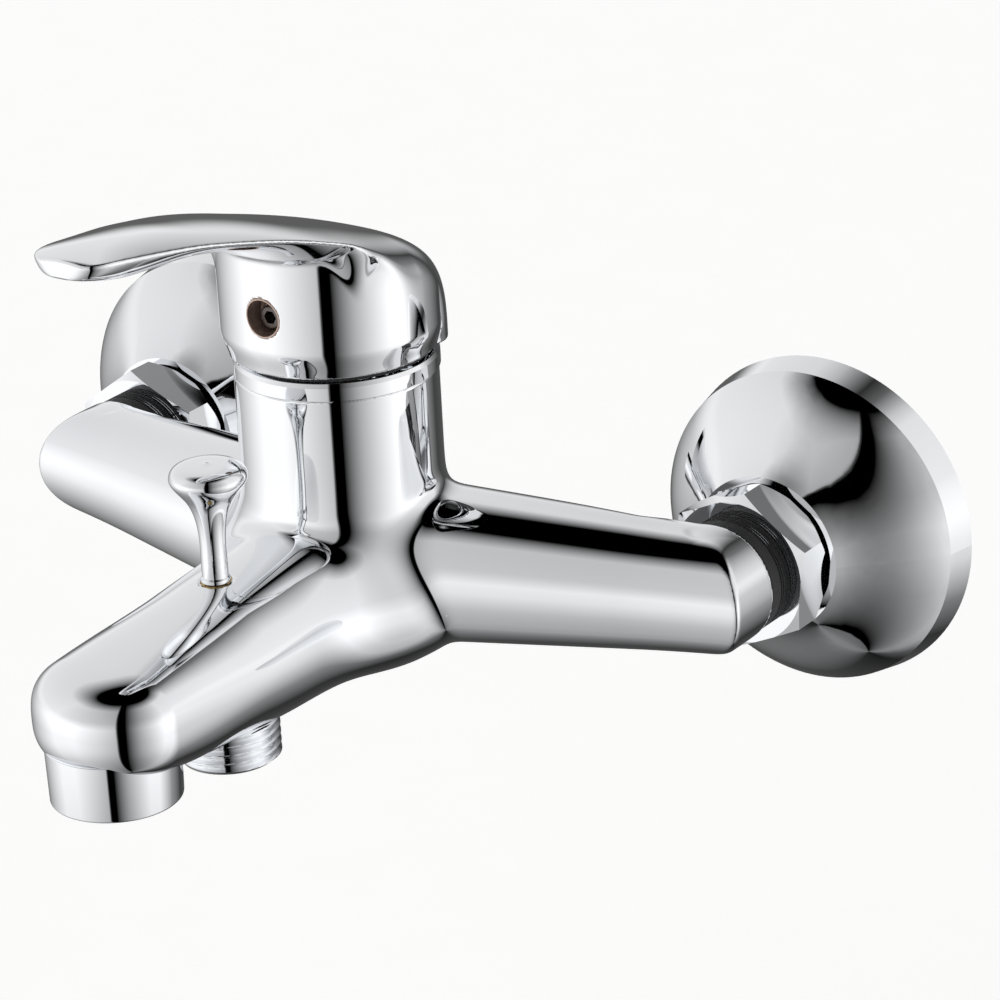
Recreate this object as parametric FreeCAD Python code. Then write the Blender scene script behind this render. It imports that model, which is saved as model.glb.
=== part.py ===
"""Wall mounted single lever bath and shower mixer, as an assembly of separate pieces.

Frame: millimetres, +Z up, +X to the right of someone facing the wall, +Y into the wall.
The origin lies on the wall face, midway between the two inlets, at the height of the inlet axes.
"""
import math
import os

import FreeCAD
import Part

V = FreeCAD.Vector
X_AXIS = V(1, 0, 0)
Y_AXIS = V(0, 1, 0)
Z_AXIS = V(0, 0, 1)

# Driving dimensions
INLET_SPACING = 150.0
COLUMN_Y = -60.5
COLUMN_R = 20.6
COLUMN_TOP = 40.0
SPOUT_Z = -5.0
SPOUT_END_Y = -138.0
DIVERTER_Y = -103.5
G_HALF_R = 10.478
G_THREE_QUARTER_R = 13.2
RUN = 0.05

# Arms and inlet legs
INLET_X = INLET_SPACING / 2
ARM_START = V(0, COLUMN_Y, 0)
ELBOW = V(INLET_X, -43.4, 0)
ARM_ROOT_R = 17.3
ARM_END_R = 12.4
LEG_R = 12.2
LEG_END_Y = -40.0
ARM_BORE_R = 6.0
ARM_BORE_START = V(7.5, -57.3, 0)
ARM_BORE_END = V(INLET_X, -48.3, 0)
LEG_BORE_R = 8.0
LEG_BORE_Y = -50.5
SPIGOT_R = 10.0
SPIGOT_START_Y = -47.5

# Cartridge, 35 mm type: bottom of each piece above the bore floor
BORE_R = 17.6
FLOOR_Z = 12.0
DISC_Z = FLOOR_Z + 4.0
MOVING_DISC_Z = DISC_Z + 3.5
CARRIER_Z = MOVING_DISC_Z + 4.0
CARRIER_TOP = CARRIER_Z + 6.5
GUIDE_Z = CARRIER_TOP + 0.6
HOUSING_SHOULDER = 34.5
NECK_TOP = 41.0
PIVOT_Z = 34.0
BALL_Z = PIVOT_Z - 7.2
STEM_TOP = 60.0
PORTS = ((8.5, COLUMN_Y + 4.5), (-8.5, COLUMN_Y + 4.5), (0.0, COLUMN_Y - 9.5))
PORT_R = 3.2

# Handle
HANDLE_Z = 44.8
HANDLE_BASE_Y = COLUMN_Y + 0.5
HANDLE_BASE_R = 21.3
BARREL_Y = COLUMN_Y - 0.6
BARREL_R = 22.5
SCREW_Z = 57.1
BARREL_FRONT_Y = BARREL_Y - BARREL_R

# Spout stations: distance along Y, half width, half height
SPOUT_STATIONS = (
    (COLUMN_Y, 19.8, 17.8),
    (-86.0, 19.0, 17.2),
    (-105.0, 18.0, 16.0),
    (-122.0, 17.1, 14.0),
    (SPOUT_END_Y, 16.4, 12.4),
)

# Outlets
COLLAR_TOP = -12.7
COLLAR_BOTTOM = -21.6
COLLAR_R = 13.0
NIPPLE_BOTTOM = -27.4
NIPPLE_THREAD_TOP = -22.4
NIPPLE_SHOULDER = -18.4
CHAMBER_FLOOR = -14.5
DIVERTER_TOP = 9.0
KNOB_BASE_Z = 9.6

# Inlet unions, distances along Y
NUT_FRONT_Y = -33.7
NUT_BACK_Y = -23.7
NUT_ACROSS_FLATS = 29.0
NUT_SLEEVE_R = 11.8
NUT_SLEEVE_Y = -39.3
NUT_CAVITY_Y = -32.9
FLANGE_Y = -32.8
WASHER_Y = -30.8
UNION_FRONT_Y = -29.0
WALL_OFFSET_Z = -7.5
WALL_THREAD_END_Y = 16.0


def cyl(radius, base, length, axis=Z_AXIS):
    return Part.makeCylinder(radius, length, base, axis)


def tube(outer, inner, base, length, axis=Z_AXIS):
    return cyl(outer, base, length, axis).cut(cyl(inner, base, length, axis))


def turned(points, base, axis):
    """Solid of revolution from (radius, distance along axis) points round an axis through base."""
    profile = [V(r, 0, h) for r, h in points]
    face = Part.Face(Part.makePolygon(profile + profile[:1]))
    solid = face.revolve(V(0, 0, 0), Z_AXIS, 360)
    solid.Placement = FreeCAD.Placement(base, FreeCAD.Rotation(Z_AXIS, axis))
    return solid


def ellipse_wire(y, half_width, half_height):
    curve = Part.Ellipse(V(0, 0, 0), half_width, half_height)
    wire = Part.Wire(curve.toShape())
    wire.rotate(V(0, 0, 0), X_AXIS, 90)
    wire.translate(V(0, y, SPOUT_Z))
    return wire


def at_column(z, dy=0.0):
    return V(0, COLUMN_Y + dy, z)


def mitre_side(keep_arm):
    """Large block on one side of the right elbow's mitre plane, which halves the bend."""
    size = 200.0
    sweep = math.degrees(math.atan2(ELBOW.y - ARM_START.y, ELBOW.x - ARM_START.x))
    block = Part.makeBox(size, size, size, V(0, -size / 2, -size / 2))
    if keep_arm:
        block.translate(V(-size, 0, 0))
    block.rotate(V(0, 0, 0), Z_AXIS, (90 + sweep) / 2)
    block.translate(ELBOW)
    return block


def in_front_of_back():
    """Large block in front of the flat back that the arms share with the inlet faces."""
    return Part.makeBox(300, 200, 200, V(-150, LEG_END_Y - 200, -100))


def right_arm():
    """Tapered arm swept back, then a mitred elbow into the short leg that points at the wall."""
    overrun = 22.0
    direction = ELBOW - ARM_START
    taper = (ARM_END_R - ARM_ROOT_R) / direction.Length
    reach = direction.Length + overrun
    arm = Part.makeCone(ARM_ROOT_R, ARM_END_R + taper * overrun, reach, ARM_START, direction)
    arm = arm.common(in_front_of_back())
    leg_start = ELBOW - Y_AXIS * overrun
    leg = cyl(LEG_R, leg_start, LEG_END_Y - leg_start.y, Y_AXIS)
    rim = [e for e in leg.Edges if abs(e.CenterOfMass.y - LEG_END_Y) < 0.01 and e.Length > LEG_R]
    leg = leg.makeChamfer(0.6, rim)
    return arm.common(mitre_side(True)).fuse(leg.common(mitre_side(False)))


def mirrored(shape):
    return shape.mirror(V(0, 0, 0), X_AXIS)


def both_sides(shape):
    return [shape, mirrored(shape)]


def spout_shape():
    """Oval spout lofted through its stations, then through shrinking ones that round off the nose."""
    end_width, end_height = SPOUT_STATIONS[-1][1:]
    wires = [ellipse_wire(*station) for station in SPOUT_STATIONS]
    for degrees in (15, 28, 40, 51, 61, 70, 78, 84):
        turn = math.radians(degrees)
        y = SPOUT_END_Y - end_width * math.sin(turn)
        wires.append(ellipse_wire(y, end_width * math.cos(turn), end_height * math.cos(turn)))
    return Part.makeLoft(wires, True, True)


def column_shape():
    bottom = SPOUT_Z - 14.0
    column = cyl(COLUMN_R, at_column(bottom), COLUMN_TOP - bottom)
    foot = [e for e in column.Edges if abs(e.CenterOfMass.z - bottom) < 0.01]
    return column.makeFillet(7.0, foot)


def arm_waterway():
    direction = ARM_BORE_END - ARM_BORE_START
    arm = cyl(ARM_BORE_R, ARM_BORE_START, direction.Length, direction)
    leg = cyl(LEG_BORE_R, at_inlet(LEG_BORE_Y), LEG_END_Y - LEG_BORE_Y, Y_AXIS)
    spigot_depth = LEG_END_Y - SPIGOT_START_Y + 0.5
    spigot_bore = cyl(SPIGOT_R + RUN, at_inlet(SPIGOT_START_Y - 0.5), spigot_depth, Y_AXIS)
    riser = cyl(PORT_R, V(PORTS[0][0], PORTS[0][1], -2.0), FLOOR_Z + 2.0)
    return arm.multiFuse([leg, spigot_bore, riser])


def spout_waterway():
    riser = cyl(PORT_R, V(PORTS[2][0], PORTS[2][1], SPOUT_Z), FLOOR_Z - SPOUT_Z)
    supply = cyl(7.0, V(0, -68.5, SPOUT_Z), -68.5 - DIVERTER_Y, -Y_AXIS)
    chamber = cyl(8.0, V(0, DIVERTER_Y, CHAMBER_FLOOR), 1.0 - CHAMBER_FLOOR)
    upper = cyl(6.0, V(0, DIVERTER_Y, 0), 5.0)
    bush_hole = cyl(5.0, at_diverter(4.0), DIVERTER_TOP - 4.0)
    knob_hole = cyl(3.2, at_diverter(DIVERTER_TOP), 8.0)
    delivery = cyl(3.8, V(0, DIVERTER_Y - 3.0, 3.8), 33.0, V(0, -1, -0.2))
    drop = cyl(8.5, V(0, SPOUT_END_Y, -7.0), 8.5)
    aerator_bore = cyl(11.6, V(0, SPOUT_END_Y, -20.0), 14.4)
    collar_seat = cyl(COLLAR_R + RUN, V(0, SPOUT_END_Y, -25.0), COLLAR_TOP + 25.0)
    nipple_hole = cyl(8.6 + RUN, V(0, DIVERTER_Y, -24.0), 10.0)
    spot_face = cyl(10.9, V(0, DIVERTER_Y, -26.0), 26.0 + NIPPLE_SHOULDER + 1.0)
    diverter_holes = [chamber, upper, bush_hole, knob_hole, nipple_hole, spot_face]
    return riser.multiFuse([supply, delivery, drop, aerator_bore, collar_seat] + diverter_holes)


def mixer_body():
    arms = both_sides(right_arm())
    solid = column_shape().multiFuse([spout_shape()] + arms)
    cartridge_bore = cyl(BORE_R, at_column(FLOOR_Z), COLUMN_TOP - FLOOR_Z)
    solid = solid.cut(cartridge_bore)
    for way in both_sides(arm_waterway()):
        solid = solid.cut(way)
    return solid.cut(spout_waterway())


def cover_ring():
    top = 43.8
    outline = [(17.9, COLUMN_TOP), (COLUMN_R, COLUMN_TOP), (COLUMN_R, top - 1.2)]
    outline += [(COLUMN_R - 0.35, top - 0.35), (COLUMN_R - 1.2, top), (17.9, top)]
    return turned(outline, at_column(0), Z_AXIS)


def port_cutters(radius, bottom, height):
    return [cyl(radius, V(x, y, bottom), height) for x, y in PORTS]


def cartridge_base():
    base = cyl(17.2, at_column(FLOOR_Z), DISC_Z - FLOOR_Z)
    for cutter in port_cutters(PORT_R, FLOOR_Z, 4.0) + port_cutters(5.2 + RUN, FLOOR_Z, 1.4):
        base = base.cut(cutter)
    return base


def cartridge_base_seals():
    return Part.makeCompound([tube(5.2, 3.6, V(x, y, FLOOR_Z), 1.4) for x, y in PORTS])


def fixed_ceramic_disc():
    disc = cyl(15.1, at_column(DISC_Z), MOVING_DISC_Z - DISC_Z)
    for cutter in port_cutters(PORT_R, DISC_Z, 4.0):
        disc = disc.cut(cutter)
    return disc


def moving_ceramic_disc():
    disc = cyl(11.0, at_column(MOVING_DISC_Z), CARRIER_Z - MOVING_DISC_Z)
    mixing_hollow = cyl(5.5, at_column(MOVING_DISC_Z, -2.5), 2.0)
    return disc.cut(mixing_hollow)


def disc_carrier():
    carrier = cyl(10.5, at_column(CARRIER_Z), CARRIER_TOP - CARRIER_Z)
    pocket = cyl(2.9, at_column(CARRIER_Z + 0.6), 6.0)
    flare_height = CARRIER_TOP - BALL_Z - 0.7
    flare = Part.makeCone(2.95, 5.3, flare_height, at_column(BALL_Z + 0.7))
    return carrier.cut(pocket).cut(flare)


def cartridge_housing():
    shell = tube(17.2, 15.2, at_column(DISC_Z), HOUSING_SHOULDER - DISC_Z)
    roof = tube(17.2, 10.2, at_column(HOUSING_SHOULDER - 2.0), 2.0)
    neck = tube(12.0, 10.2, at_column(HOUSING_SHOULDER), NECK_TOP - HOUSING_SHOULDER)
    return shell.multiFuse([roof, neck]).removeSplitter()


def cartridge_nut():
    ring = tube(BORE_R - RUN, 12.1, at_column(HOUSING_SHOULDER), 7.0)
    for angle in (0, 45, 90, 135):
        slot = Part.makeBox(44, 3.0, 2.0, V(-22, -1.5, 0))
        slot.rotate(V(0, 0, 0), Z_AXIS, angle)
        slot.translate(at_column(HOUSING_SHOULDER + 5.0))
        ring = ring.cut(slot)
    return ring


def stem_guide():
    barrel = cyl(10.1, at_column(GUIDE_Z), NECK_TOP - GUIDE_Z)
    flange = cyl(14.9, at_column(GUIDE_Z), 1.8)
    slot = Part.makeBox(6.6, 18.0, 20.0, V(-3.3, COLUMN_Y - 9.0, GUIDE_Z - 1.0))
    pin_hole = cyl(1.5, V(-11, COLUMN_Y, PIVOT_Z), 22.0, X_AXIS)
    groove = tube(11.0, 9.1, at_column(37.0), 1.6)
    return barrel.fuse(flange).cut(slot).cut(pin_hole).cut(groove)


def stem_guide_seal():
    return tube(10.15, 9.15, at_column(37.1), 1.4).cut(
        Part.makeBox(0.6, 30.0, 3.0, V(-0.3, COLUMN_Y, 36.5))
    )


def stem_pivot_pin():
    return cyl(1.5, V(-9.4, COLUMN_Y, PIVOT_Z), 18.8, X_AXIS)


def cartridge_stem():
    hub = cyl(4.2, V(-3.0, COLUMN_Y, PIVOT_Z), 6.0, X_AXIS)
    upper = Part.makeBox(6.0, 8.0, STEM_TOP - PIVOT_Z, V(-3.0, COLUMN_Y - 4.0, PIVOT_Z))
    rod = cyl(1.7, at_column(BALL_Z), PIVOT_Z - BALL_Z)
    ball = Part.makeSphere(2.4, at_column(BALL_Z))
    pin_hole = cyl(1.5 + RUN, V(-4, COLUMN_Y, PIVOT_Z), 8.0, X_AXIS)
    return hub.multiFuse([upper, rod, ball]).cut(pin_hole).removeSplitter()


def handle_side_profile():
    """Closed outline of the lever and crown seen from the side, extruded across X."""
    top = [(-141.0, 85.6), (-136.0, 87.6), (-127.0, 87.8), (-114.0, 86.0), (-100.0, 83.0),
           (-85.0, 79.0), (-69.0, 74.0), (-54.0, 69.0), (-45.0, 63.5), (-39.6, 55.0), (-38.7, HANDLE_Z)]
    under = [(-84.0, 69.5), (-95.0, 75.0), (-106.0, 79.4), (-118.0, 81.6), (-130.0, 82.2), (-138.0, 83.4),
             (-141.0, 85.6)]
    upper_curve = Part.BSplineCurve()
    upper_curve.interpolate([V(0, y, z) for y, z in top])
    under_curve = Part.BSplineCurve()
    under_curve.interpolate([V(0, y, z) for y, z in under])
    front = V(0, under[0][0], under[0][1])
    base_front = V(0, under[0][0], HANDLE_Z)
    base_rear = V(0, top[-1][0], HANDLE_Z)
    edges = [upper_curve.toShape(), Part.makeLine(base_rear, base_front)]
    edges += [Part.makeLine(base_front, front), under_curve.toShape()]
    face = Part.Face(Part.Wire(Part.__sortEdges__(edges)))
    face.translate(V(-30, 0, 0))
    return face.extrude(V(60, 0, 0))


def lever_plan():
    """Outline of the lever seen from above, extruded along Z."""
    side = [(22.2, -60.5), (21.6, -80.0), (19.6, -95.0), (15.8, -113.0), (11.6, -128.0), (8.5, -137.0),
            (0.0, -141.5)]
    right = [V(x, y, HANDLE_Z) for x, y in side]
    left = [V(-x, y, HANDLE_Z) for x, y in reversed(side[:-1])]
    curve = Part.BSplineCurve()
    curve.interpolate(right + left)
    edge = curve.toShape()
    closing = Part.makeLine(left[-1], right[0])
    face = Part.Face(Part.Wire([edge, closing]))
    return face.extrude(V(0, 0, 60))


def handle_outer():
    chamfer_z = HANDLE_Z + 5.0
    base = Part.makeCone(HANDLE_BASE_R, BARREL_R, chamfer_z - HANDLE_Z, V(0, HANDLE_BASE_Y, HANDLE_Z))
    barrel = cyl(BARREL_R, V(0, BARREL_Y, chamfer_z), 35.0)
    rear = cyl(HANDLE_BASE_R + 0.5, V(0, HANDLE_BASE_Y, HANDLE_Z), 40.0)
    plan = barrel.multiFuse([rear, base])
    crown = handle_side_profile().common(plan)
    lever_block = Part.makeBox(60, 100, 40, V(-30, -160, 66.0))
    lever = handle_side_profile().common(lever_plan()).common(lever_block)
    return crown.fuse(lever).removeSplitter()


def handle():
    outer = handle_outer()
    cavity = cyl(20.0, V(0, HANDLE_BASE_Y, HANDLE_Z - 1.0), 6.2)
    dome = Part.makeCone(20.0, 13.0, 13.0, V(0, HANDLE_BASE_Y, HANDLE_Z + 5.2))
    boss = cyl(8.0, at_column(48.0), 20.0)
    web = Part.makeBox(11.0, 20.0, 18.0, V(-5.5, COLUMN_Y - 22.0, 50.5))
    socket = Part.makeBox(6.1, 8.1, 13.0, V(-3.05, COLUMN_Y - 4.05, 47.5))
    hollow = cavity.fuse(dome).cut(boss).cut(web)
    recess = cyl(3.9, V(0, BARREL_FRONT_Y - 2.0, SCREW_Z), 6.5, Y_AXIS)
    thread = cyl(2.5, V(0, BARREL_FRONT_Y, SCREW_Z - 0.6), 22.0, Y_AXIS)
    return outer.cut(hollow).cut(socket).cut(recess).cut(thread)


def handle_grub_screw():
    start = BARREL_FRONT_Y + 2.8
    length = COLUMN_Y - 4.06 - start
    screw = cyl(2.5 - RUN, V(0, start, SCREW_Z - 0.6), length, Y_AXIS)
    rim = [e for e in screw.Edges if abs(e.CenterOfMass.y - start) < 0.01 and e.Length > 5]
    screw = screw.makeChamfer(0.35, rim)
    corners = [V(1.45 * math.cos(a), start - 1.0, SCREW_Z - 0.6 + 1.45 * math.sin(a))
               for a in [math.radians(60 * k) for k in range(7)]]
    socket = Part.Face(Part.makePolygon(corners)).extrude(V(0, 3.5, 0))
    return screw.cut(socket)


def at_diverter(z):
    return V(0, DIVERTER_Y, z)


def diverter_knob():
    """Trumpet shaped pull knob: slim shaft flaring into a domed head."""
    points = [V(0, 0, 0), V(2.6, 0, 0), V(2.9, 0, 0.3)]
    base = Part.makePolygon(points + [V(2.9, 0, 1.0), V(2.6, 0, 1.3)])
    flare = Part.BSplineCurve()
    flare.interpolate([V(2.6, 0, 1.3), V(2.6, 0, 8.5), V(3.1, 0, 13.0), V(4.6, 0, 17.0), V(7.0, 0, 20.2),
                       V(7.7, 0, 21.8), V(7.1, 0, 23.3), V(4.6, 0, 24.3), V(0, 0, 24.7)])
    axis_line = Part.makeLine(V(0, 0, 24.7), V(0, 0, 0))
    wire = Part.Wire(base.Edges + [flare.toShape(), axis_line])
    solid = Part.Face(wire).revolve(V(0, 0, 0), Z_AXIS, 360)
    solid.translate(at_diverter(KNOB_BASE_Z))
    return solid.cut(cyl(2.0, at_diverter(KNOB_BASE_Z - 1.0), 8.4))


def diverter_stem():
    bottom = CHAMBER_FLOOR + 1.2
    return cyl(2.0, at_diverter(bottom), KNOB_BASE_Z + 7.4 - bottom)


def diverter_piston():
    disc = cyl(7.4, at_diverter(CHAMBER_FLOOR + 1.2), 4.8)
    return disc.cut(cyl(2.0, at_diverter(CHAMBER_FLOOR), 8.0))


def diverter_bottom_seal():
    return cyl(7.2, at_diverter(CHAMBER_FLOOR + 0.05), 1.15)


def diverter_top_seal():
    return tube(7.4, 5.0, at_diverter(CHAMBER_FLOOR + 6.0), 1.2)


def diverter_spring():
    bottom = CHAMBER_FLOOR + 6.0
    height = 4.4 - bottom
    helix = Part.makeHelix(height / 5.0, height - 0.9, 3.9)
    circle = Part.Wire(Part.makeCircle(0.4, V(3.9, 0, 0), Y_AXIS))
    coil = Part.Wire(helix).makePipeShell([circle], True, True)
    coil.translate(at_diverter(bottom + 0.45))
    return coil


def diverter_guide_bush():
    body = tube(4.95, 2.0 + RUN, at_diverter(4.4), DIVERTER_TOP - 4.4)
    groove = tube(5.2, 4.2, at_diverter(6.6), 1.4)
    return body.cut(groove)


def diverter_bush_seal():
    return tube(4.95, 4.2, at_diverter(6.6), 1.4)


def aerator_collar():
    outline = [(10.6, COLLAR_BOTTOM), (12.5, COLLAR_BOTTOM), (12.75, COLLAR_BOTTOM + 0.25)]
    outline += [(COLLAR_R, COLLAR_TOP), (11.5, COLLAR_TOP), (11.5, -8.0), (10.6, -8.0)]
    return turned(outline, V(0, SPOUT_END_Y, 0), Z_AXIS)


def aerator_insert():
    body = cyl(10.55, V(0, SPOUT_END_Y, -20.4), 10.4)
    pitch = 3.6
    for row in range(-3, 4):
        for column in range(-3, 4):
            x = pitch * (column + 0.5 * (row % 2))
            y = pitch * row * math.sqrt(3) / 2
            if math.hypot(x, y) < 9.0:
                body = body.cut(cyl(1.3, V(x, SPOUT_END_Y + y, -21.0), 12.0))
    return body


def aerator_screen():
    disc = cyl(10.55, V(0, SPOUT_END_Y, -10.0), 0.6)
    for ring in (2.5, 5.0, 7.5):
        count = int(ring * 2.4)
        for step in range(count):
            angle = 2 * math.pi * step / count
            centre = V(ring * math.cos(angle), SPOUT_END_Y + ring * math.sin(angle), -10.5)
            disc = disc.cut(cyl(0.7, centre, 2.0))
    return disc


def aerator_gasket():
    return tube(11.5, 8.5, V(0, SPOUT_END_Y, -8.0), 2.4)


def shower_outlet_nipple():
    outline = [(6.0, NIPPLE_BOTTOM), (9.4, NIPPLE_BOTTOM), (G_HALF_R, NIPPLE_BOTTOM + 1.0)]
    outline += [(G_HALF_R, NIPPLE_THREAD_TOP), (9.6, NIPPLE_THREAD_TOP + 0.6), (9.6, NIPPLE_SHOULDER)]
    outline += [(8.6, NIPPLE_SHOULDER), (8.6, CHAMBER_FLOOR), (6.0, CHAMBER_FLOOR)]
    return turned(outline, at_diverter(0), Z_AXIS)


def shower_outlet_seal():
    return tube(10.4, 8.6 + RUN, at_diverter(NIPPLE_SHOULDER), 1.0)


def at_inlet(y, z=0.0):
    return V(INLET_X, y, z)


def inlet_spigot():
    shank = cyl(SPIGOT_R, at_inlet(SPIGOT_START_Y), FLANGE_Y - SPIGOT_START_Y, Y_AXIS)
    flange = cyl(12.9, at_inlet(FLANGE_Y), WASHER_Y - FLANGE_Y, Y_AXIS)
    return shank.fuse(flange).cut(cyl(8.0, at_inlet(SPIGOT_START_Y - 1.0), 20.0, Y_AXIS))


def hex_prism(across_flats, base, length, turn):
    corner = across_flats / math.sqrt(3)
    points = []
    for k in range(7):
        angle = math.radians(60 * k + turn)
        points.append(V(base.x + corner * math.cos(angle), base.y, base.z + corner * math.sin(angle)))
    return Part.Face(Part.makePolygon(points)).extrude(Y_AXIS * length)


def union_nut():
    length = NUT_BACK_Y - NUT_FRONT_Y
    prism = hex_prism(NUT_ACROSS_FLATS, at_inlet(NUT_FRONT_Y), length, 24.0)
    corner = NUT_ACROSS_FLATS / math.sqrt(3)
    flat = NUT_ACROSS_FLATS / 2
    outline = [(0, 0), (flat + 0.2, 0), (corner, 0.8)]
    outline += [(corner, length - 3.0), (flat + 0.2, length), (0, length)]
    rounded = turned(outline, at_inlet(NUT_FRONT_Y), Y_AXIS)
    sleeve = cyl(NUT_SLEEVE_R, at_inlet(NUT_SLEEVE_Y), NUT_FRONT_Y - NUT_SLEEVE_Y, Y_AXIS)
    nut = prism.common(rounded).fuse(sleeve)
    for y in (-36.6, -35.6, -34.6):
        nut = nut.cut(tube(NUT_SLEEVE_R + 1.0, NUT_SLEEVE_R - 0.35, at_inlet(y), 0.45, Y_AXIS))
    nut = nut.cut(cyl(SPIGOT_R + 0.3, at_inlet(NUT_SLEEVE_Y), 10.0, Y_AXIS))
    return nut.cut(cyl(G_THREE_QUARTER_R + RUN, at_inlet(NUT_CAVITY_Y), 12.0, Y_AXIS))


def sealing_washer():
    return tube(12.9, 8.0, at_inlet(WASHER_Y), UNION_FRONT_Y - WASHER_Y, Y_AXIS)


def filter_screen():
    disc = cyl(7.9, at_inlet(-30.3), 0.7, Y_AXIS)
    for ring, count in ((0.0, 1), (3.0, 6), (5.6, 11)):
        for step in range(count):
            angle = 2 * math.pi * step / count
            centre = V(INLET_X + ring * math.cos(angle), -32.0, ring * math.sin(angle))
            disc = disc.cut(cyl(0.8, centre, 2.0, Y_AXIS))
    return disc


def s_union():
    """Eccentric wall connector: G3/4 towards the mixer, G1/2 into the wall, axes offset."""
    mixer_end = cyl(G_THREE_QUARTER_R, at_inlet(UNION_FRONT_Y), 19.0, Y_AXIS)
    middle = cyl(G_THREE_QUARTER_R, at_inlet(-11.0), 5.0, Y_AXIS)
    offset = cyl(11.5, at_inlet(-9.0, WALL_OFFSET_Z), 7.0, Y_AXIS)
    wall_end = cyl(G_HALF_R, at_inlet(-2.0, WALL_OFFSET_Z), WALL_THREAD_END_Y + 2.0, Y_AXIS)
    front_bore = cyl(8.0, at_inlet(UNION_FRONT_Y - 1.0), 23.0, Y_AXIS)
    wall_bore = cyl(7.0, at_inlet(-10.0, WALL_OFFSET_Z), WALL_THREAD_END_Y + 12.0, Y_AXIS)
    return mixer_end.multiFuse([middle, offset, wall_end]).cut(front_bore).cut(wall_bore).removeSplitter()


def escutcheon():
    """Thin domed wall plate with a steep rim band and a soft inward curve near its neck."""
    rim_r, crease_r, neck_r, hole_r = 34.0, 32.8, 16.2, 13.3
    rim_depth, neck_depth, wall = 6.4, 22.8, 1.2
    dome = Part.BSplineCurve()
    dome.interpolate([V(crease_r, 0, rim_depth), V(30.4, 0, 9.6), V(24.5, 0, 15.3), V(neck_r, 0, neck_depth)])
    inner = Part.BSplineCurve()
    inner.interpolate([V(neck_r, 0, neck_depth - wall), V(23.8, 0, 14.3), V(29.4, 0, 8.9),
                       V(crease_r - wall, 0, rim_depth)])
    edges = [Part.makeLine(V(rim_r, 0, 0), V(crease_r, 0, rim_depth)), dome.toShape()]
    edges += Part.makePolygon([V(neck_r, 0, neck_depth), V(hole_r, 0, neck_depth + 0.2),
                               V(hole_r, 0, neck_depth - 3.0), V(neck_r, 0, neck_depth - wall)]).Edges
    edges += [inner.toShape(), Part.makeLine(V(crease_r - wall, 0, rim_depth), V(rim_r - wall, 0, 0))]
    edges += [Part.makeLine(V(rim_r - wall, 0, 0), V(rim_r, 0, 0))]
    solid = Part.Face(Part.Wire(edges)).revolve(V(0, 0, 0), Z_AXIS, 360)
    solid.Placement = FreeCAD.Placement(at_inlet(0), FreeCAD.Rotation(Z_AXIS, -Y_AXIS))
    return solid


CENTRE_PARTS = (
    mixer_body, cover_ring, cartridge_base, cartridge_base_seals, fixed_ceramic_disc, moving_ceramic_disc,
    disc_carrier, cartridge_housing, cartridge_nut, stem_guide, stem_guide_seal, stem_pivot_pin,
    cartridge_stem, handle, handle_grub_screw, diverter_knob, diverter_stem, diverter_piston,
    diverter_bottom_seal, diverter_top_seal, diverter_spring, diverter_guide_bush, diverter_bush_seal,
    aerator_collar, aerator_insert, aerator_screen, aerator_gasket, shower_outlet_nipple, shower_outlet_seal,
)
INLET_PARTS = (inlet_spigot, union_nut, sealing_washer, filter_screen, s_union, escutcheon)


def write(shape, name):
    shape.exportStep("parts/" + name + ".step")
    print(name, "valid" if shape.isValid() else "INVALID", len(shape.Solids), round(shape.Volume, 1))


def main():
    os.makedirs("parts", exist_ok=True)
    for make in CENTRE_PARTS:
        write(make(), make.__name__)
    for make in INLET_PARTS:
        right = make()
        write(right, "right_" + make.__name__)
        write(mirrored(right), "left_" + make.__name__)


main()
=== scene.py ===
"""Looks of the wall mounted bath mixer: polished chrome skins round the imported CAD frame."""
import math

import bmesh
import bpy
import numpy as np
from mathutils import Matrix, Vector


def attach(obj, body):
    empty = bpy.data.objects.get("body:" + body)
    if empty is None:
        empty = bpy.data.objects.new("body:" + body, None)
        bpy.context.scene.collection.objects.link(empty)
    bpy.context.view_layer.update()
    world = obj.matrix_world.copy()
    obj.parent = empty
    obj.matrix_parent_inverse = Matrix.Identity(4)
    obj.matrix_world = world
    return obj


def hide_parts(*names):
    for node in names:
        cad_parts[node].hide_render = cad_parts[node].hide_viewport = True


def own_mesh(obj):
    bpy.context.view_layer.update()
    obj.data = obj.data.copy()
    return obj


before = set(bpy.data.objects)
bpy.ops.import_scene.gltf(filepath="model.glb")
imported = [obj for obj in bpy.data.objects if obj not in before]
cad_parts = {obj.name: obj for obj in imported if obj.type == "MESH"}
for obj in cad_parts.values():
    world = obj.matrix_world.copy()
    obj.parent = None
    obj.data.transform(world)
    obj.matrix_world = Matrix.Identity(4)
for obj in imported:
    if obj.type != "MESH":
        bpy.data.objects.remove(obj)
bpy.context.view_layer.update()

MM = 0.001

# Places in millimetres, the same as in the CAD model
COLUMN_Y = -60.5
COLUMN_R = 20.6
COLUMN_TOP = 40.0
INLET_X = 75.0
ELBOW_Y = -43.4
ARM_ROOT_R = 17.3
ARM_END_R = 12.3
LEG_END_Y = -40.0
MITRE_TURN = (math.pi / 2 + math.atan2(ELBOW_Y - COLUMN_Y, INLET_X)) / 2
SPOUT_Z = -5.0
SPOUT_END_Y = -138.0
NOSE_R = 13.2
COLLAR_TOP = -12.7
SPRING_BOTTOM = -8.5
COLLAR_BOTTOM = -21.6
DIVERTER_Y = -103.5
CHAMBER_R = 9.0
CHAMBER_TOP = 1.6
HANDLE_Z = 44.8
SCREW_Z = 57.1


# ---------------------------------------------------------------- implicit surfaces

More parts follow.
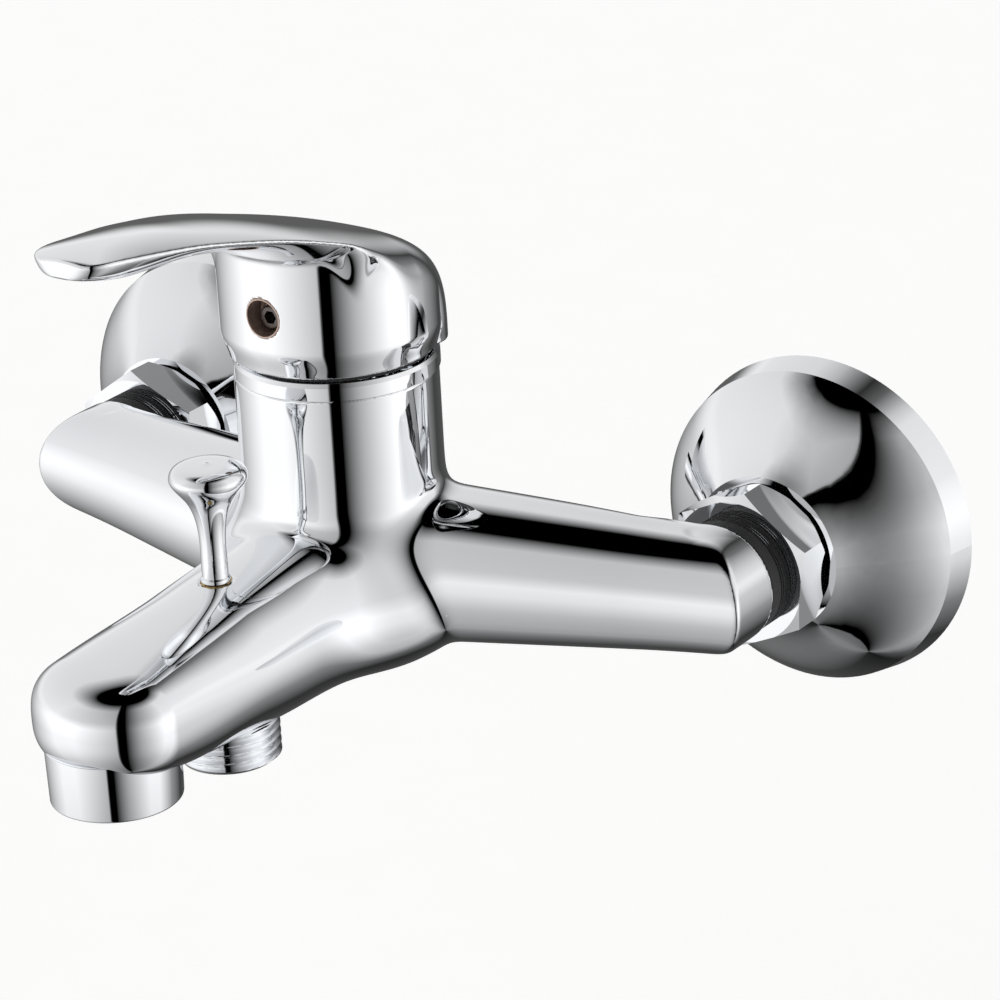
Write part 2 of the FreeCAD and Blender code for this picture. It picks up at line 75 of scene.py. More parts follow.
def spline(points):
    """Natural cubic spline through (at, value) points, level beyond its ends."""
    at, value = (np.array(column, float) for column in zip(*sorted(points)))
    gap = np.diff(at)
    slope = np.diff(value) / gap
    count = len(at)
    system = np.eye(count)
    right = np.zeros(count)
    for i in range(1, count - 1):
        system[i, i - 1:i + 2] = gap[i - 1], 2 * (gap[i - 1] + gap[i]), gap[i]
        right[i] = 6 * (slope[i] - slope[i - 1])
    bend = np.linalg.solve(system, right)

    def curve(x):
        x = np.clip(x, at[0], at[-1])
        i = np.clip(np.searchsorted(at, x) - 1, 0, count - 2)
        a = (at[i + 1] - x) / gap[i]
        b = 1 - a
        cubic = (a ** 3 - a) * bend[i] + (b ** 3 - b) * bend[i + 1]
        return a * value[i] + b * value[i + 1] + cubic * gap[i] ** 2 / 6
    return curve


def smooth_min(a, b, k):
    h = np.maximum(k - np.abs(a - b), 0) / k
    return np.minimum(a, b) - h ** 3 * k / 6


def smooth_max(a, b, k):
    return -smooth_min(-a, -b, k)


def ramp(x, low, high):
    t = np.clip((x - low) / (high - low), 0, 1)
    return t * t * (3 - 2 * t)


def mix(a, b, t):
    return a + (b - a) * t


def gradient(field, p):
    step = 0.01
    slopes = []
    for axis in range(3):
        ahead, behind = p.copy(), p.copy()
        ahead[:, axis] += step
        behind[:, axis] -= step
        slopes.append((field(*ahead.T) - field(*behind.T)) / (2 * step))
    return np.stack(slopes, 1)


def surface_net(field, low, high, cell):
    """Vertices and quads on the zero level of field, which is negative inside."""
    axes = [np.arange(a, b + cell, cell) for a, b in zip(low, high)]
    x, y, z = np.meshgrid(*axes, indexing="ij", sparse=True)
    values = field(x, y, z) + np.zeros([len(a) for a in axes])
    inside = values < 0
    corners = [(i, j, k) for i in (0, 1) for j in (0, 1) for k in (0, 1)]
    shape = [n - 1 for n in inside.shape]
    held = np.zeros(shape, np.int8)
    for c in corners:
        held += inside[c[0]:c[0] + shape[0], c[1]:c[1] + shape[1], c[2]:c[2] + shape[2]]
    cells = np.argwhere((held > 0) & (held < 8))
    ids = np.full(shape, -1)
    ids[tuple(cells.T)] = np.arange(len(cells))
    at_corner = [values[tuple((cells + c).T)] for c in corners]
    total = np.zeros((len(cells), 3))
    count = np.zeros(len(cells))
    for a in range(8):
        for b in range(a + 1, 8):
            offset = np.array(corners[b]) - corners[a]
            if abs(offset).sum() != 1:
                continue
            crosses = (at_corner[a] < 0) != (at_corner[b] < 0)
            t = np.where(crosses, at_corner[a] / np.where(crosses, at_corner[a] - at_corner[b], 1), 0)
            total += (np.array(corners[a]) + t[:, None] * offset) * crosses[:, None]
            count += crosses
    points = np.array(low) + cell * (cells + total / count[:, None])
    return points, net_quads(inside, ids)


def net_quads(inside, ids):
    quads = []
    for axis in range(3):
        u, v = (axis + 1) % 3, (axis + 2) % 3
        first = [slice(1, -1)] * 3
        second = [slice(1, -1)] * 3
        first[axis], second[axis] = slice(0, -1), slice(1, None)
        a, b = inside[tuple(first)], inside[tuple(second)]
        for flip, edges in ((False, a & ~b), (True, ~a & b)):
            base = np.argwhere(edges)
            base[:, u] += 1
            base[:, v] += 1
            ring = []
            for du, dv in ((0, 0), (-1, 0), (-1, -1), (0, -1)):
                cell = base.copy()
                cell[:, u] += du
                cell[:, v] += dv
                ring.append(ids[tuple(cell.T)])
            quad = np.stack(ring, 1)
            quads.append(quad[:, ::-1] if flip else quad)
    return np.concatenate(quads)


def settle(field, points, steps=5, reach=0.8):
    """Moves points onto the zero level along the field's slope."""
    start = points.copy()
    for _ in range(steps):
        slope = gradient(field, points)
        size = np.maximum((slope ** 2).sum(1), 1e-6)
        points = points - slope * (field(*points.T) / size)[:, None]
    drift = points - start
    length = np.linalg.norm(drift, axis=1, keepdims=True)
    return start + drift * np.minimum(1, reach / np.maximum(length, 1e-9))


def snap_to_crease(points, first, second, reach):
    """Moves the points near the line where two surfaces cross onto that line."""
    near = np.flatnonzero((abs(first(*points.T)) < reach) & (abs(second(*points.T)) < reach))
    p = points[near]
    start = p.copy()
    for _ in range(4):
        g, h = gradient(first, p), gradient(second, p)
        a, b = first(*p.T), second(*p.T)
        gg, hh, gh = (g * g).sum(1), (h * h).sum(1), (g * h).sum(1)
        det = np.maximum(gg * hh - gh * gh, 1e-3)
        s = (a * hh - b * gh) / det
        t = (b * gg - a * gh) / det
        p = p - g * s[:, None] - h * t[:, None]
    moved = np.linalg.norm(p - start, axis=1) < reach
    points[near[moved]] = p[moved]
    return points


def mesh_object(name, points, faces, materials, normals=None):
    mesh = bpy.data.meshes.new(name)
    mesh.from_pydata((np.asarray(points) * MM).tolist(), [], [list(map(int, f)) for f in faces])
    mesh.validate()
    mesh.shade_smooth()
    for material in materials:
        mesh.materials.append(material)
    if normals is not None:
        mesh.normals_split_custom_set_from_vertices(normals.tolist())
    piece = bpy.data.objects.new(name, mesh)
    bpy.context.scene.collection.objects.link(piece)
    return piece


def implicit_piece(name, field, low, high, cell, materials, creases=()):
    points, quads = surface_net(field, low, high, cell)
    points = settle(field, points, reach=cell)
    for first, second in creases:
        points = snap_to_crease(points, first, second, 0.75 * cell)
    normals = gradient(field, points)
    normals /= np.maximum(np.linalg.norm(normals, axis=1, keepdims=True), 1e-9)
    return mesh_object(name, points, quads, materials, normals)


def tube_distance(x, z, centre_x, centre_z, radius):
    return np.sqrt((x - centre_x) ** 2 + (z - centre_z) ** 2) - radius


def from_axis(x, y, centre_y=COLUMN_Y):
    return np.sqrt(x * x + (y - centre_y) ** 2)


# ---------------------------------------------------------------- body

def arm(x, y, z):
    """Signed distance to the tapered arm on either side."""
    x = np.abs(x)
    length = math.hypot(INLET_X, ELBOW_Y - COLUMN_Y)
    along = (x * INLET_X + (y - COLUMN_Y) * (ELBOW_Y - COLUMN_Y)) / length
    square = x ** 2 + (y - COLUMN_Y) ** 2 + z ** 2
    share = along / length
    eased = np.where(share < 0.8, share, 1 - np.maximum(1.2 - share, 0) ** 2 / 0.8)
    radius = ARM_ROOT_R + (ARM_END_R - ARM_ROOT_R) * eased
    return np.sqrt(np.maximum(square - along ** 2, 1e-9)) - radius


def leg(x, y, z):
    return tube_distance(np.abs(x), z, INLET_X, 0, ARM_END_R) + 0 * y


def mitre(x, y, z):
    """Distance beyond the plane that halves the bend from arm to leg."""
    return (np.abs(x) - INLET_X) * math.cos(MITRE_TURN) + (y - ELBOW_Y) * math.sin(MITRE_TURN) + 0 * z


def elbowed_arm(x, y, z):
    side = mitre(x, y, z)
    swept, short = arm(x, y, z), leg(x, y, z)
    outward = (np.abs(x) - INLET_X) * math.sin(MITRE_TURN) - (y - ELBOW_Y) * math.cos(MITRE_TURN)
    sharp = smooth_max(swept, short, 1.2)
    hollow = smooth_min(swept, short, 1.2)
    corner = mix(hollow, sharp, ramp(outward, -3, 3))
    away = mix(swept, short, np.clip(side + 0.5, 0, 1))
    tube = mix(corner, away, ramp(np.abs(side), 3, 5))
    back_edge = mix(7.0, 0.9, ramp(np.abs(x), 58, 66))
    return smooth_max(tube, y - LEG_END_Y, back_edge)


def spout(x, y, z):
    t = (COLUMN_Y - y) / (COLUMN_Y - SPOUT_END_Y)
    width = 19.9 - 3.0 * t - 0.5 * t * t + 9.0 * ramp(y, -99, -64) ** 2
    crown = 17.8 - 3.0 * t - 3.8 * t * t
    keel = 17.8 - 0.05 * t - 5.35 * t * t - 1.2 * (1 - ramp(y, -141, -122))
    keel = keel - 2.2 * ramp(y, -100, -68)
    height = np.where(z > SPOUT_Z, crown, keel)
    past_end = np.maximum(SPOUT_END_Y - y, 0) / NOSE_R
    seen_from_above = np.sqrt((x / width) ** 2 + past_end ** 2)
    fullness = mix(2.9, 2.0, ramp(y, -152, -108))
    size = (seen_from_above ** fullness + np.abs((z - SPOUT_Z) / height) ** fullness) ** (1 / fullness)
    return np.maximum((size - 1) * (0.5 * (width + height) - 1.0), y - COLUMN_Y)


def column(x, y, z):
    below = np.maximum(SPOUT_Z - z, 0) / 16.6
    radius = COLUMN_R + 1.4 * (1 - ramp(z, 2, 26)) ** 2
    across = from_axis(x, y) / radius
    size = (across ** 2.6 + below ** 2.6) ** (1 / 2.6)
    return (size - 1) * 19.0


def body_outside(x, y, z):
    foot_blend = mix(5.0, 10.0, ramp(np.abs(x), 6, 18))
    middle = smooth_min(spout(x, y, z), column(x, y, z), foot_blend)
    arms = elbowed_arm(x, y, z)
    shoulder = 0.894 * np.abs(x) + 0.447 * (y - COLUMN_Y) - 21.5
    whole = smooth_min(smooth_max(middle, shoulder, 5.0), arms, mix(4.0, 5.0, ramp(z, 4, 14)))
    return smooth_max(whole, z - COLUMN_TOP, 0.7)


def body_hollow(x, y, z):
    """Distance to what is cut out of the body: cartridge bore, inlet bores, outlet and diverter bores."""
    bore = np.maximum(from_axis(x, y) - 17.6, 12.0 - z)
    inlet = np.maximum(tube_distance(np.abs(x), z, INLET_X, 0, 10.4), -48.0 - y)
    drop = np.maximum(from_axis(x, y, SPOUT_END_Y) - 11.8, z + 5.6)
    at_diverter = from_axis(x, y, DIVERTER_Y)
    chamber = np.maximum(np.maximum(at_diverter - CHAMBER_R, z - CHAMBER_TOP), -26 - z)
    knob_hole = np.maximum(at_diverter - 3.2, -z)
    return np.minimum.reduce(np.broadcast_arrays(bore, inlet, drop, chamber, knob_hole))


def body_field(x, y, z):
    return smooth_max(body_outside(x, y, z), -body_hollow(x, y, z), 0.5)


# ---------------------------------------------------------------- handle

# Where the lever's tip is, and along Y its half width, crown height, fall from crown to rim, and underside
TIP_Y = -141.2
SIDE = spline([(-145.0, 8.7), (-136.0, 9.6), (-130.4, 10.2), (-122.7, 11.2), (-115.0, 12.4), (-107.8, 13.7),
               (-97.4, 15.9), (-87.6, 18.2), (-78.3, 20.3), (-71.3, 21.5), (-65.0, 22.3), (-58.0, 22.9),
               (-40.0, 23.0)])
CROWN = spline([(-142.0, 86.9), (-137.0, 87.6), (-130.4, 87.6), (-122.7, 86.8), (-115.0, 85.6),
                (-107.8, 84.1), (-97.4, 81.7), (-87.6, 79.0), (-78.3, 76.0), (-71.3, 73.7), (-60.0, 69.8),
                (-54.0, 67.4), (-48.0, 64.6), (-38.0, 59.0)])
RIM_DROP = spline([(-142.0, 0.6), (-137.0, 1.2), (-130.4, 1.9), (-115.0, 2.2), (-97.4, 2.2), (-87.6, 2.3),
                   (-78.3, 2.4), (-66.0, 2.2), (-50.0, 2.2), (-38.0, 2.2)])
LEVER_UNDER = spline([(-142.0, 83.6), (-138.0, 82.6), (-131.5, 81.3), (-121.0, 80.8), (-113.0, 80.2),
                      (-106.0, 78.6), (-98.0, 75.8), (-90.0, 72.2), (-84.0, 69.4), (-80.0, 67.8),
                      (-70.0, 65.0), (-38.0, 60.0)])


def half_width(y):
    """Half width of the lever seen from above, drawn in round its blunt tip."""
    toward_tip = np.clip((-128.0 - y) / (-128.0 - TIP_Y), 0, 0.999)
    return SIDE(y) * (1 - toward_tip ** 4) ** 0.25


def underside(y):
    """Height of the lever's underside, which drops away inside the round front of the handle."""
    drop = 0.8 * np.maximum(y + 80.3, 0) ** 2
    return smooth_max(LEVER_UNDER(y) - drop, 46.0 + 0 * y, 20.0)


BARREL_Y = -61.3
BARREL_R = 22.1


def shell_top(x, y, z):
    return z - CROWN(y) + RIM_DROP(y) * (x / half_width(y)) ** 2


def shell(x, y, z):
    """Top of the lever, rounding over into the rear wall."""
    rear = np.sqrt(x * x + (1.04 * np.maximum(y + 60.0, 0)) ** 2) - 22.3
    return smooth_max(shell_top(x, y, z), rear + 0 * z, mix(3.0, 17.0, ramp(y, -88, -60)))


def hull(x, y, z):
    """Underside of the lever, curving up to the rim and widening into the crown."""
    width = half_width(y)
    rim = CROWN(y) - RIM_DROP(y)
    low = underside(y)
    share = np.minimum(np.abs(x) / width, 1.5)
    fullness = mix(6.0, 2.4, ramp(y, -118, -88))
    surface = low + (rim - low) * share ** fullness
    slope = (rim - low) * fullness * share ** (fullness - 1) / width
    return np.maximum((surface - z) / np.sqrt(1 + slope ** 2), TIP_Y - y)


def barrel(x, y, z):
    """Upright round front of the handle, drawn in at its foot, open behind the rim."""
    narrowing = 1.4 * (1 - ramp(z, HANDLE_Z - 1, HANDLE_Z + 5.5))
    round_wall = np.sqrt(x * x + (y - BARREL_Y) ** 2) - BARREL_R + narrowing
    return round_wall - 0.5 * np.maximum(y + 53.0, 0)


def side(x, y, z):
    return smooth_min(barrel(x, y, z), hull(x, y, z), mix(1.4, 4.0, ramp(y, -79, -60)))


def handle_cavity(x, y, z):
    narrow = np.maximum(z - 50.0, 0) * 0.62
    room = np.maximum(from_axis(x, y, -59.6) - 19.7 + narrow, z - 62.5)
    boss = from_axis(x, y) - 8.0
    web = np.maximum(np.maximum(np.abs(x) - 5.5, y + 62.5), 50.5 - z)
    boss = np.minimum(np.maximum(boss, 48.0 - z), web)
    socket = np.maximum(np.maximum(np.abs(x) - 3.05, np.abs(y - COLUMN_Y) - 4.05), z - 60.5)
    return np.minimum(np.maximum(room, -boss), socket)


def screw_recess(x, y, z):
    across = np.sqrt(x * x + (z - SCREW_Z) ** 2)
    pocket = np.maximum(across - 3.9, y + 79.0)
    thread = np.maximum(np.sqrt(x * x + (z - SCREW_Z + 0.6) ** 2) - 2.5, y + 62.0)
    return np.minimum(pocket, thread)


def handle_outside(x, y, z):
    whole = smooth_max(shell(x, y, z), side(x, y, z), 1.3)
    return smooth_max(whole, HANDLE_Z - z, 0.6)


def handle_field(x, y, z):
    cut = np.minimum(handle_cavity(x, y, z), screw_recess(x, y, z))
    return smooth_max(handle_outside(x, y, z), -cut, 0.35)


# ---------------------------------------------------------------- turned pieces

def rounded(outline, steps=7):
    """Outline of (radius, height, corner rounding) points with each rounded corner as an arc."""
    points = []
    for i, (r, h, rounding) in enumerate(outline):
        here = np.array((r, h), float)
        if not rounding or i in (0, len(outline) - 1):
            points.append(here)
            continue
        back = np.array(outline[i - 1][:2]) - here
        ahead = np.array(outline[i + 1][:2]) - here
        back, ahead = back / np.linalg.norm(back), ahead / np.linalg.norm(ahead)
        half = math.acos(np.clip(back @ ahead, -1, 1)) / 2
        reach = rounding / math.tan(half)
        start, end = here + back * reach, here + ahead * reach
        middle = (back + ahead) / np.linalg.norm(back + ahead)
        centre = here + middle * rounding / math.sin(half)
        for k in range(steps + 1):
            spoke = mix(start, end, k / steps) - centre
            points.append(centre + spoke * rounding / np.linalg.norm(spoke))
    return points


def lathe(name, outline, place, material, axis="Z", segments=160, wobble=None, closed=False):
    """Turned piece: outline of (radius, height) points round an axis through place, in millimetres."""
    turns = np.linspace(0, 2 * math.pi, segments, endpoint=False)
    points = []
    for r, h in outline:
        ring = np.stack([r * np.cos(turns), r * np.sin(turns), np.full(segments, h)], 1)
        points.append(ring)
    points = np.concatenate(points)
    if wobble:
        points = wobble(points)
    count = len(outline)
    faces = []
    for i in range(count if closed else count - 1):
        a, b = i * segments, (i + 1) % count * segments
        for k in range(segments):
            n = (k + 1) % segments
            faces.append((a + k, a + n, b + n, b + k))
    if axis == "-Y":
        points = points[:, [0, 2, 1]] * (1, -1, 1)
    piece = mesh_object(name, points + np.array(place), faces, [material])
    tidy_normals(piece)
    return piece


def tidy_normals(piece, sharp_degrees=38):
    edit = bmesh.new()
    edit.from_mesh(piece.data)
    bmesh.ops.remove_doubles(edit, verts=edit.verts, dist=1e-7)
    bmesh.ops.recalc_face_normals(edit, faces=edit.faces)
    edit.to_mesh(piece.data)
    edit.free()
    piece.data.set_sharp_from_angle(angle=math.radians(sharp_degrees))


# ---------------------------------------------------------------- materials

class Nodes:
    """Short way to lay out a node tree."""

    def __init__(self, tree):
        self.tree = tree

    def add(self, kind, *inputs, **settings):
        node = self.tree.nodes.new(kind)
        for key, value in settings.items():
            setattr(node, key, value)
        for place, value in enumerate(inputs):
            if value is not None:
                self.put(node, place, value)
        return node

    def put(self, node, place, value):
        if isinstance(value, bpy.types.NodeSocket):
            self.tree.links.new(value, node.inputs[place])
        else:
            node.inputs[place].default_value = value

    def math(self, operation, *inputs):
        return self.add("ShaderNodeMath", *inputs, operation=operation).outputs[0]

    def smooth_range(self, value, low, high, out_low=0.0, out_high=1.0):
        node = self.add("ShaderNodeMapRange", value, low, high, out_low, out_high)
        node.interpolation_type = "SMOOTHSTEP"
        return node.outputs[0]

    def noise(self, scale, detail=3.0, stretch=(1, 1, 1)):
        place = self.add("ShaderNodeTexCoord").outputs["Object"]
        mapped = self.add("ShaderNodeMapping", place)
        mapped.inputs["Scale"].default_value = stretch
        node = self.add("ShaderNodeTexNoise")
        self.put(node, "Vector", mapped.outputs[0])
        self.put(node, "Scale", scale)
        self.put(node, "Detail", detail)
        return node.outputs["Fac"]

    def colours(self, fac, *stops):
        ramp_node = self.add("ShaderNodeValToRGB", fac)
        ramp = ramp_node.color_ramp
        while len(ramp.elements) < len(stops):
            ramp.elements.new(0.5)
        for element, (place, colour) in zip(ramp.elements, stops):
            element.position = place
            element.color = (*colour, 1)
        return ramp_node.outputs[0]


def surface(name, metallic=0.0, **sockets):
    """New material: its node layout helper and its shader."""
    material = bpy.data.materials.new(name)
    material.use_nodes = True
    nodes = Nodes(material.node_tree)
    shader = material.node_tree.nodes["Principled BSDF"]
    shader.inputs["Metallic"].default_value = metallic
    for socket, value in sockets.items():
        shader.inputs[socket.replace("_", " ")].default_value = value
    return material, nodes, shader


def bump(nodes, shader, height, strength, distance=0.0002):
    node = nodes.add("ShaderNodeBump")
    nodes.put(node, "Height", height)
    nodes.put(node, "Strength", strength)
    nodes.put(node, "Distance", distance)
    nodes.put(shader, "Normal", node.outputs[0])


def chrome_material():
    """Polished chrome plate: faint polishing haze and a very slight unevenness."""
    material, nodes, shader = surface("chrome_plate", metallic=1.0)
    haze = nodes.noise(55.0, 4.0)
    nodes.put(shader, "Roughness", nodes.smooth_range(haze, 0.3, 0.75, 0.015, 0.04))
    tint = nodes.colours(nodes.noise(18.0), (0.35, (0.86, 0.875, 0.90)), (0.65, (0.90, 0.91, 0.925)))
    nodes.put(shader, "Base Color", tint)
    return material


def speckled(name, low, high, scale, rough, metallic=0.0, relief=0.15, stretch=(1, 1, 1)):
    """Material whose colour, gloss and relief follow a fine grain."""
    material, nodes, shader = surface(name, metallic=metallic)
    grain = nodes.noise(scale, 5.0, stretch)
    nodes.put(shader, "Base Color", nodes.colours(grain, (0.3, low), (0.7, high)))
    nodes.put(shader, "Roughness", nodes.smooth_range(grain, 0.3, 0.7, *rough))
    bump(nodes, shader, grain, relief)
    return material


MATERIALS = {
    "chrome": chrome_material(),
    "brass": speckled("turned_brass", (0.62, 0.42, 0.16), (0.78, 0.56, 0.25), 300, (0.22, 0.34),
                      1.0, 0.1, (1, 1, 6)),
    "plastic": speckled("moulded_plastic", (0.70, 0.71, 0.70), (0.80, 0.81, 0.80), 900, (0.38, 0.5)),
    "black_rubber": speckled("black_rubber", (0.012, 0.012, 0.013), (0.03, 0.03, 0.032), 1200,
                             (0.55, 0.72)),
    "ceramic": speckled("ground_ceramic", (0.80, 0.79, 0.75), (0.88, 0.87, 0.84), 700, (0.12, 0.2),
                        0.0, 0.03),
    "steel": speckled("stainless_wire", (0.50, 0.50, 0.51), (0.62, 0.62, 0.63), 500, (0.25, 0.36),
                      1.0, 0.08),
    "socket_steel": speckled("blackened_screw", (0.10, 0.09, 0.085), (0.2, 0.18, 0.17), 800, (0.3, 0.45),
                             1.0, 0.1),
}
BARE_BRASS = speckled("bare_brass", (0.48, 0.35, 0.29), (0.66, 0.52, 0.45), 420, (0.3, 0.42), 0.85, 0.06)


def dress_frame():
    """Gives every CAD node that shows the finish of its slot."""
    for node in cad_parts.values():
        for index, material in enumerate(node.data.materials):
            if material.name in MATERIALS:
                node.data.materials[index] = MATERIALS[material.name]


# ---------------------------------------------------------------- pieces

def body_skin():
    shell_mesh = implicit_piece(
        "body_skin", body_field, (-91, -157, -27), (91, -38, 42), 0.55, [MATERIALS["chrome"]],
        creases=[(body_outside, body_hollow)])
    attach(shell_mesh, "mixer")
    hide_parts("mixer_body")


def handle_skin():
    crown = implicit_piece(
        "handle_skin", handle_field, (-25, -144, 43), (25, -36, 91), 0.5, [MATERIALS["chrome"]])
    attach(crown, "lever")
    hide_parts("handle")


def shower_outlet():
    """Threaded nipple with a helical G1/2 thread, its top hidden in the body."""
    major, depth, pitch = 10.478, 1.0, 1.814
    bottom, top = -27.4, -17.6
    rows = 90
    outline = [(6.0, bottom), (9.3, bottom)]
    outline += [(major, bottom + 0.9 + (top - bottom - 0.9) * k / rows) for k in range(rows + 1)]
    outline += [(6.0, top)]

    def cut_thread(points):
        radius = np.hypot(points[:, 0], points[:, 1])
        on_thread = radius > major - 0.01
        turn = np.arctan2(points[:, 1], points[:, 0]) / (2 * math.pi)
        phase = ((points[:, 2] - bottom) / pitch - turn) % 1.0
        ridge = np.clip(1.6 * np.abs(2 * phase - 1) - 0.3, 0, 1)
        shrink = np.where(on_thread, 1 - depth * ridge / major, 1.0)
        points[:, :2] *= shrink[:, None]
        return points

    nipple = lathe("shower_outlet_thread", outline, (0, DIVERTER_Y, 0), MATERIALS["chrome"], segments=144,
                   wobble=cut_thread, closed=True)
    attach(nipple, "mixer")
    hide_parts("shower_outlet_nipple")


def diverter_spring():
    """Coil spring that presses the diverter piston down, drawn at one fixed length."""
    base, top, coil_r, wire_r, turns = SPRING_BOTTOM + 0.45, 3.95, 3.9, 0.4, 5
    steps, sides = 40 * turns, 10
    points = []
    for i in range(steps + 1):
        angle = 2 * math.pi * turns * i / steps
        height = mix(base, top, i / steps)
        for k in range(sides):
            lean = 2 * math.pi * k / sides
            r = coil_r + wire_r * math.cos(lean)
            x, y = r * math.cos(angle), DIVERTER_Y + r * math.sin(angle)
            points.append((x, y, height + wire_r * math.sin(lean)))
    faces = [tuple(range(sides)), tuple(range(steps * sides, (steps + 1) * sides))[::-1]]
    for i in range(steps):
        for k in range(sides):
            n = (k + 1) % sides
            a, b = i * sides, (i + 1) * sides
            faces.append((a + k, b + k, b + n, a + n))
    spring = mesh_object("diverter_coil_spring", points, faces, [MATERIALS["steel"]])
    tidy_normals(spring)
    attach(spring, "mixer")
    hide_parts("diverter_spring")
    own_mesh(spring)


def screw_well():
    """Bare brass lining of the grub screw's hole, with a thin bright lip that follows the round front."""
    outline = rounded([(2.55, -4.2, 0), (3.35, -3.6, 0.8), (3.6, -0.5, 0.4), (3.7, 0.10, 0.08),
                       (4.0, 0.10, 0.08), (4.05, -0.6, 0)])

    def follow_front(points):
        bend = BARREL_R - np.sqrt(BARREL_R ** 2 - points[:, 0] ** 2)
        points[:, 2] -= bend
        return points

    place = (0, BARREL_Y - BARREL_R, SCREW_Z)
    well = lathe("screw_well", outline, place, BARE_BRASS, axis="-Y", segments=96, wobble=follow_front)
    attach(well, "lever")


def collar():
    """Aerator collar with a softly broken lower edge, its top hidden inside the end of the spout."""
    outline = rounded([(10.6, -8.0, 0), (10.6, COLLAR_BOTTOM, 0.3), (12.8, COLLAR_BOTTOM, 0.5),
                       (13.1, COLLAR_TOP + 2.6, 0.2), (11.5, COLLAR_TOP + 2.6, 0), (11.5, -8.0, 0)])
    ring = lathe("outlet_collar", outline, (0, SPOUT_END_Y, 0), MATERIALS["chrome"], closed=True)
    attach(ring, "mixer")
    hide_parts("aerator_collar")


def painted_gap_shade_ring():
    """Black ring inside the gap between the cover ring and the handle: painted shade standing in for the
    dark of the gap.
    """
    outline = rounded([(18.4, 42.0, 0), (18.4, 44.5, 0.3), (19.4, 44.5, 0.3), (19.4, 42.0, 0)])
    # the black rubber finish here is painted shade that darkens the gap between cover ring and handle
    gap_shade = lathe("painted_gap_shade_ring", outline, (0, COLUMN_Y, 0), MATERIALS["black_rubber"], closed=True)
    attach(gap_shade, "mixer")


def nut_band(name, body, centre_x):
    """Black ring with fine grooves between an inlet leg and its union nut."""
    inner, groove, outer = 10.45, 11.6, 11.95
    grooves, pitch = 4, 0.7
    outline = [(inner, 33.8), (inner, 39.8), (11.7, 39.8), (outer, 39.5), (outer, 36.6)]
    for k in range(grooves):
        top = 36.5 - pitch * k
        outline += [(groove, top), (groove, top - 0.25), (outer, top - 0.35), (outer, top - 0.6)]
    outline += [(outer, 33.75)]
    band = lathe(name, outline, (centre_x, 0, 0), MATERIALS["black_rubber"], axis="-Y", closed=True)
    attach(band, body)


# ---------------------------------------------------------------- studio

# Soft lights of the studio as (compass angle in degrees from straight out towards +X, brightness):
# one wide light on each side, a narrow black gap between them, and a dark wall behind.
# LOW_LIGHTS are below the horizon and HIGH_LIGHTS above it
LOW_LIGHTS = ((-180, 0.05), (-135, 0.1), (-60, 1.0), (-30, 1.0), (25, 0.5), (27, 0.0), (38, 0.0),
              (60, 0.4), (100, 1.0), (120, 1.0), (150, 0.3), (180, 0.05))
HIGH_LIGHTS = ((-180, 0.05), (-145, 0.9), (-50, 1.0), (25, 0.5), (27, 0.0), (38, 0.0),
               (60, 0.4), (100, 1.0), (140, 1.0), (165, 0.2), (180, 0.05))
# Share of that brightness by height angle in degrees, from straight down to straight up
BY_HEIGHT = ((-90, 0.15), (-45, 0.6), (-20, 1.0), (-5, 1.1), (15, 0.8), (50, 0.7), (60, 0.3), (68, 0.0),
             (90, 0.0))


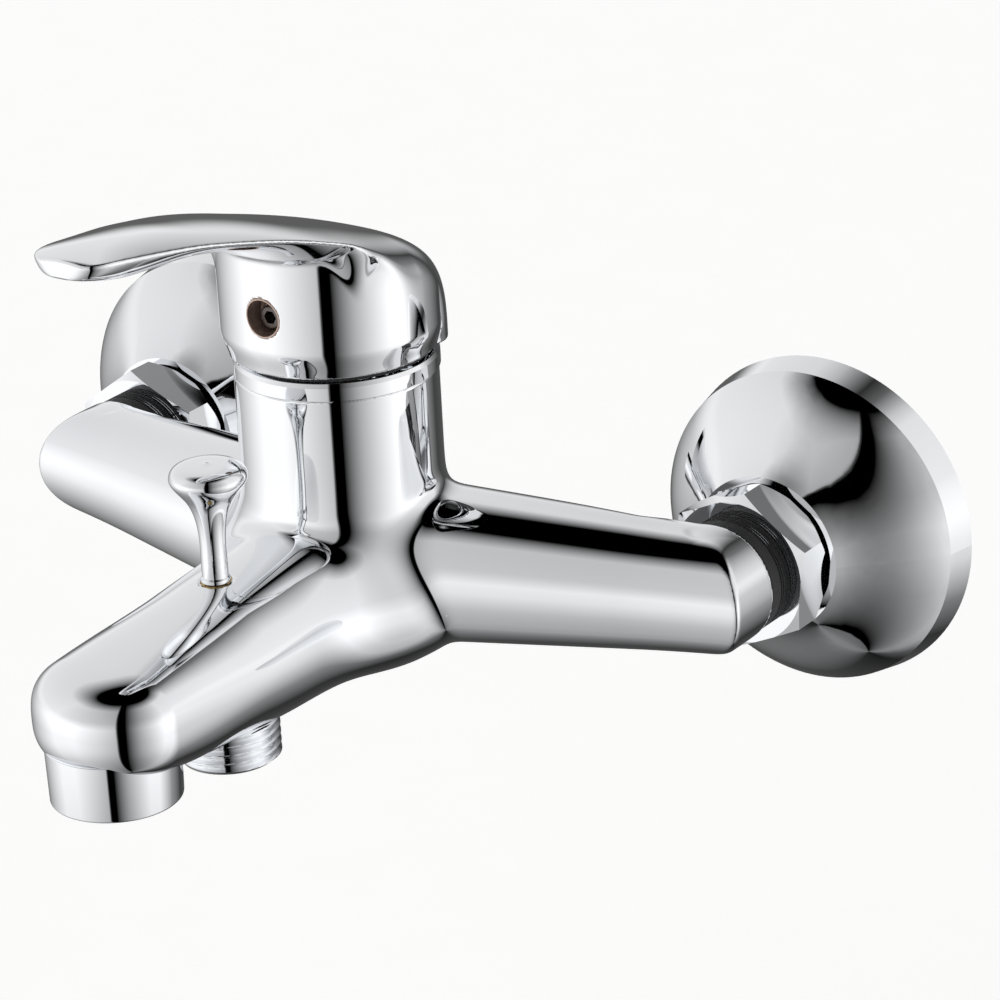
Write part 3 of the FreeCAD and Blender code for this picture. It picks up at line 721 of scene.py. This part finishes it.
def sky():
    """Studio round the mixer, seen in the chrome; looked at straight, it is white."""
    world = bpy.data.worlds.new("studio")
    bpy.context.scene.world = world
    world.use_nodes = True
    nodes = Nodes(world.node_tree)
    way = nodes.add("ShaderNodeTexCoord").outputs["Generated"]
    x, y, z = nodes.add("ShaderNodeSeparateXYZ", way).outputs
    angle = nodes.math("ARCTAN2", x, nodes.math("MULTIPLY", y, -1.0))
    compass = nodes.math("MULTIPLY_ADD", angle, 0.5 / math.pi, 0.5)
    rise = nodes.math("MULTIPLY_ADD", nodes.math("ARCSINE", z), 1 / math.pi, 0.5)

    def lit(position, lights, half_turn):
        return nodes.colours(position, *[((at / half_turn + 1) / 2, (level,) * 3) for at, level in lights])

    def blended(kind, fac, first, second):
        node = nodes.add("ShaderNodeMix", data_type="RGBA", blend_type=kind)
        nodes.put(node, "Factor", fac)
        for place, value in ((6, first), (7, second)):
            if isinstance(value, tuple):
                node.inputs[place].default_value = value
            else:
                nodes.tree.links.new(value, node.inputs[place])
        return node.outputs[2]

    upper = nodes.smooth_range(rise, 0.47, 0.57)
    ring = blended("MIX", upper, lit(compass, LOW_LIGHTS, 180), lit(compass, HIGH_LIGHTS, 180))
    room = blended("MULTIPLY", 1.0, ring, lit(rise, BY_HEIGHT, 90))
    straight = nodes.add("ShaderNodeLightPath").outputs["Is Camera Ray"]
    seen = blended("MIX", straight, room, (0.93, 0.93, 0.93, 1))
    background = world.node_tree.nodes["Background"]
    nodes.tree.links.new(seen, background.inputs["Color"])
    background.inputs["Strength"].default_value = 1.15


def floor():
    mesh = bpy.data.meshes.new("floor")
    mesh.from_pydata([(-4, -4, -0.2), (4, -4, -0.2), (4, 4, -0.2), (-4, 4, -0.2)], [], [(0, 1, 2, 3)])
    plane = bpy.data.objects.new("floor", mesh)
    bpy.context.scene.collection.objects.link(plane)
    plane.visible_glossy = False
    material = speckled("pale_floor", (0.93, 0.93, 0.92), (0.95, 0.95, 0.94), 40, (0.8, 0.9), 0.0, 0.02)
    shader = material.node_tree.nodes["Principled BSDF"]
    shader.inputs["Emission Color"].default_value = (1, 1, 1, 1)
    shader.inputs["Emission Strength"].default_value = 0.55
    mesh.materials.append(material)


# Where the camera stands in metres, and its lens and sensor in millimetres
CAMERA_PLACE = (0.5285, -0.7494, 0.3574)
LENS = 167.8
SENSOR_WIDTH = 36.0


def camera():
    data = bpy.data.cameras.new("camera")
    data.lens = LENS
    data.sensor_width = SENSOR_WIDTH
    view = bpy.data.objects.new("camera", data)
    right = Vector((0.8248, 0.5633, -0.0491))
    up = Vector((-0.1726, 0.3334, 0.9267))
    back = Vector((0.5384, -0.7559, 0.3723))
    turn = Matrix((right, up, back)).transposed().to_4x4()
    view.matrix_world = Matrix.Translation(CAMERA_PLACE) @ turn
    bpy.context.scene.collection.objects.link(view)
    bpy.context.scene.camera = view


bpy.context.scene.view_settings.view_transform = "Standard"
dress_frame()
body_skin()
handle_skin()
shower_outlet()
diverter_spring()
screw_well()
collar()
painted_gap_shade_ring()
nut_band("left_nut_band", "left_nut", -INLET_X)
nut_band("right_nut_band", "right_nut", INLET_X)
sky()
floor()
camera()
